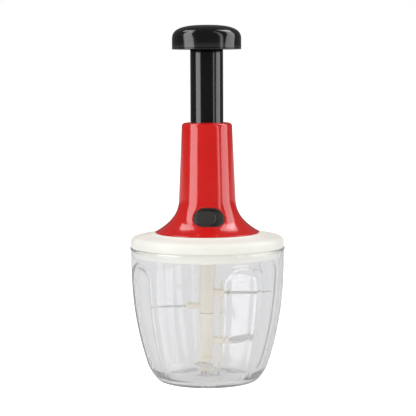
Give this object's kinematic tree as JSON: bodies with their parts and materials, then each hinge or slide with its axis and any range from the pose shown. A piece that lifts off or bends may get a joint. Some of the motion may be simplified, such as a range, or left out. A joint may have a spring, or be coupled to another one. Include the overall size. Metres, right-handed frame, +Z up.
{
  "type": "hand-press vegetable chopper",
  "caption": "Clear bowl with a lidded red tower; pressing the sprung palm knob turns a spiral strip and the blade column.",
  "frame": {"origin": "centre of the bowl's foot, on the surface the bowl stands on", "axes": "+Z up along the plunger, -Y towards the lock button, +X to the right seen from the front"},
  "size_m": [0.125, 0.125, 0.2879],
  "materials": {
    "clear_plastic": "clear, polished",
    "cream_plastic": "cream, satin",
    "lid_plastic": "warm white, glossy",
    "red_plastic": "red, high gloss",
    "black_plastic": "black, high gloss",
    "dark_plastic": "dark grey, fine matt",
    "blade_steel": "ground and polished",
    "steel": "bright drawn steel"
  },
  "bodies": {
    "bowl": {"bowl": "clear_plastic", "pivot_pin": "steel"},
    "blade_unit": {"blade_stem": "cream_plastic", "upper_blade_carrier": "cream_plastic", "blade_a": "blade_steel", "blade_b": "blade_steel", "blade_c": "blade_steel", "blade_d": "blade_steel"},
    "lid_unit": {"lid": "lid_plastic", "tower_housing": "red_plastic", "guide_sleeve": "cream_plastic", "lock_bezel": "dark_plastic", "thrust_washer": "steel", "return_spring": "steel", "tower_screw_1": "steel", "tower_screw_2": "steel", "tower_screw_3": "steel", "tower_screw_4": "steel"},
    "lock": {"lock_button": "dark_plastic", "lock_latch": "dark_plastic"},
    "plunger": {"plunger_tube": "black_plastic", "spiral_nut": "cream_plastic", "palm_knob": "black_plastic", "knob_underplate": "black_plastic"},
    "spindle": {"drive_hub": "cream_plastic", "hub_clip": "steel", "spiral_spindle": "steel", "spindle_cap": "cream_plastic"}
  },
  "joints": [
    {"name": "lid_lift", "type": "slide", "parent": "bowl", "child": "lid_unit", "axis": [0, 0, 1], "range_m": [0, 0.13]},
    {"name": "plunger_press", "type": "slide", "parent": "lid_unit", "child": "plunger", "axis": [0, 0, -1], "range_m": [0, 0.057], "stiffness_N_per_m": 120, "springref_m": -0.05, "deforming": ["return_spring"]},
    {"name": "spindle_spin", "type": "hinge", "parent": "lid_unit", "child": "spindle", "pos_m": [0, 0, 0.121], "axis": [0, 0, -1], "range_deg": [0, 720]},
    {"name": "blade_spin", "type": "hinge", "parent": "bowl", "child": "blade_unit", "pos_m": [0, 0, 0.008], "axis": [0, 0, -1], "range_deg": [0, 720]},
    {"name": "lock_slide", "type": "slide", "parent": "lid_unit", "child": "lock", "axis": [1, 0, 0], "range_m": [0, 0.0054]}
  ],
  "couplings": [
    {"joint": "spindle_spin", "follows": "plunger_press", "rad_per_m": 220.46},
    {"joint": "blade_spin", "follows": "plunger_press", "rad_per_m": 220.46}
  ]
}
